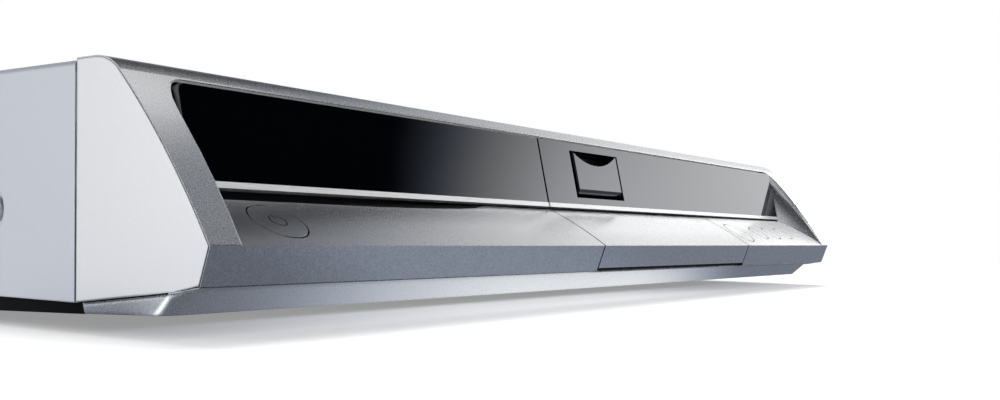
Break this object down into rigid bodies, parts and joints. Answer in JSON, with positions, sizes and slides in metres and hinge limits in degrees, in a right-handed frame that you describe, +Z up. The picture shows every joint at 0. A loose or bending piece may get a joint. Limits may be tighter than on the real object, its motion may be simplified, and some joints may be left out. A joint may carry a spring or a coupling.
{
  "type": "dvd hdd recorder",
  "caption": "Slim silver disc and hard disk recorder with a sloped front, gloss black windows, a sliding disc tray, a card door, a drop-down jack flap and push buttons.",
  "frame": {"origin": "centre of the overall box seen from above, on the plane the feet stand on", "axes": "+X to the right seen from the front, +Y to the back, +Z up"},
  "size_m": [0.43, 0.33, 0.0658],
  "materials": {
    "cover_silver": "pale silver paint, satin",
    "cheek_silver": "pale silver paint, satin",
    "front_silver": "fine metallic silver grey",
    "deck_silver": "fine metallic silver grey",
    "window_black": "deep gloss black",
    "strip_bright": "bright brushed strip",
    "button_silver": "satin silver grey",
    "lamp_beige": "clear beige light pipe",
    "inner_black": "black moulded plastic",
    "tube_glass": "dark display glass",
    "socket_black": "black plastic",
    "socket_metal": "plated steel",
    "zinc_steel": "zinc plated sheet",
    "base_black": "black painted steel",
    "tray_black": "dark grey moulded plastic",
    "gear_white": "white acetal",
    "turntable_grey": "grey rubber ring on a plastic hub",
    "sled_grey": "dark grey plastic",
    "screw_steel": "turned steel",
    "disk_cast": "cast aluminium",
    "disk_cover": "stamped steel",
    "platter_mirror": "polished platters",
    "board_green": "green coated circuit board",
    "chip_black": "moulded chips and plugs",
    "can_dark": "dark sleeved cans",
    "sink_metal": "extruded fins",
    "coil_yellow": "taped winding on a dark core",
    "cable_grey": "flat grey ribbon",
    "foot_rubber": "black feet with soft pads"
  },
  "bodies": {
    "chassis": {"base_pan": "base_black", "board_parts": "chip_black", "capacitors": "can_dark", "card_door_frame": "inner_black", "card_socket": "socket_metal", "cheek_left": "cheek_silver", "cheek_right": "cheek_silver", "deck_left": "deck_silver", "deck_right": "deck_silver", "disk_bracket": "zinc_steel", "disk_case": "disk_cast", "disk_lid": "disk_cover", "display_strip": "strip_bright", "display_tube": "tube_glass", "display_window": "window_black", "drive_case": "inner_black", "drive_lid": "socket_metal", "drive_motors": "socket_metal", "fan_frame": "inner_black", "feet": "foot_rubber", "flat_cables": "cable_grey", "front_boards": "board_green", "front_frame": "front_silver", "front_jacks": "socket_black", "heat_sinks": "sink_metal", "inner_panel": "inner_black", "jack_panel": "inner_black", "lamp_lens": "lamp_beige", "lower_skirt": "front_silver", "main_board": "board_green", "mains_inlet": "socket_black", "power_board": "board_green", "rear_jacks": "socket_black", "rear_plate": "zinc_steel", "rear_sockets": "socket_metal", "screws": "screw_steel", "sub_plate": "inner_black", "switches": "socket_black", "top_cover": "cover_silver", "transformer": "coil_yellow", "tuner_can": "socket_metal"},
    "tray": {"disc_tray": "tray_black", "tray_front": "window_black", "tray_strip": "strip_bright"},
    "card_door_body": {"card_door": "window_black"},
    "jack_flap_body": {"jack_flap": "deck_silver"},
    "power_button_body": {"power_button": "button_silver"},
    "round_button_body": {"round_button": "button_silver"},
    "small_button_1_body": {"small_button_1": "button_silver"},
    "small_button_2_body": {"small_button_2": "button_silver"},
    "small_button_3_body": {"small_button_3": "button_silver"},
    "spindle": {"turntable": "turntable_grey"},
    "clamp": {"clamp_disc": "inner_black"},
    "sled": {"laser_sled": "sled_grey"},
    "screw": {"lead_screw": "screw_steel"},
    "gear": {"tray_gear": "gear_white"},
    "pinion": {"motor_pinion": "gear_white"},
    "fan": {"fan_rotor": "inner_black"},
    "platters": {"disk_platters": "platter_mirror"},
    "arm": {"disk_arm": "disk_cast"}
  },
  "joints": [
    {"name": "tray_slide", "type": "slide", "parent": "chassis", "child": "tray", "axis": [0, -1, 0], "range_m": [0, 0.14]},
    {"name": "card_door_hinge", "type": "hinge", "parent": "chassis", "child": "card_door_body", "pos_m": [0.003, -0.13651, 0.0431], "axis": [1, 0, 0], "range_deg": [0, 90]},
    {"name": "jack_flap_hinge", "type": "hinge", "parent": "chassis", "child": "jack_flap_body", "pos_m": [0.0294, -0.1606, 0.0144], "axis": [1, 0, 0], "range_deg": [0, 125]},
    {"name": "power_button_press", "type": "slide", "parent": "chassis", "child": "power_button_body", "axis": [0, 0.4785, -0.8781], "range_m": [0, 0.0006], "stiffness_N_per_m": 150},
    {"name": "round_button_press", "type": "slide", "parent": "chassis", "child": "round_button_body", "axis": [0, 0.4785, -0.8781], "range_m": [0, 0.0006], "stiffness_N_per_m": 150},
    {"name": "small_button_1_press", "type": "slide", "parent": "chassis", "child": "small_button_1_body", "axis": [0, 0.4785, -0.8781], "range_m": [0, 0.0006], "stiffness_N_per_m": 150},
    {"name": "small_button_2_press", "type": "slide", "parent": "chassis", "child": "small_button_2_body", "axis": [0, 0.4785, -0.8781], "range_m": [0, 0.0006], "stiffness_N_per_m": 150},
    {"name": "small_button_3_press", "type": "slide", "parent": "chassis", "child": "small_button_3_body", "axis": [0, 0.4785, -0.8781], "range_m": [0, 0.0006], "stiffness_N_per_m": 150},
    {"name": "spindle_spin", "type": "hinge", "parent": "chassis", "child": "spindle", "pos_m": [-0.1204, -0.061, 0.042], "axis": [0, 0, 1], "continuous": true},
    {"name": "clamp_spin", "type": "hinge", "parent": "chassis", "child": "clamp", "pos_m": [-0.1204, -0.061, 0.051], "axis": [0, 0, 1], "continuous": true},
    {"name": "sled_slide", "type": "slide", "parent": "chassis", "child": "sled", "axis": [0, 1, 0], "range_m": [0, 0.033]},
    {"name": "screw_turn", "type": "hinge", "parent": "chassis", "child": "screw", "pos_m": [-0.0864, -0.015, 0.033], "axis": [0, 1, 0], "range_deg": [0, 4575]},
    {"name": "gear_turn", "type": "hinge", "parent": "chassis", "child": "gear", "pos_m": [-0.1619, -0.103, 0.037], "axis": [0, 0, 1], "range_deg": [0, 573]},
    {"name": "pinion_turn", "type": "hinge", "parent": "chassis", "child": "pinion", "pos_m": [-0.1438, -0.103, 0.036], "axis": [0, 0, 1], "range_deg": [-2006, 0]},
    {"name": "fan_spin", "type": "hinge", "parent": "chassis", "child": "fan", "pos_m": [0.165, 0.148, 0.036], "axis": [0, 1, 0], "continuous": true},
    {"name": "platter_spin", "type": "hinge", "parent": "chassis", "child": "platters", "pos_m": [0.1468, -0.044, 0.027], "axis": [0, 0, 1], "continuous": true},
    {"name": "arm_swing", "type": "hinge", "parent": "chassis", "child": "arm", "pos_m": [0.12, 0.014, 0.027], "axis": [0, 0, 1], "range_deg": [-20, 10]}
  ],
  "couplings": [
    {"joint": "gear_turn", "follows": "tray_slide", "rad_per_m": 71.429},
    {"joint": "pinion_turn", "follows": "tray_slide", "rad_per_m": -250},
    {"joint": "clamp_spin", "follows": "spindle_spin", "ratio": 1},
    {"joint": "screw_turn", "follows": "sled_slide", "rad_per_m": 2416.6}
  ]
}
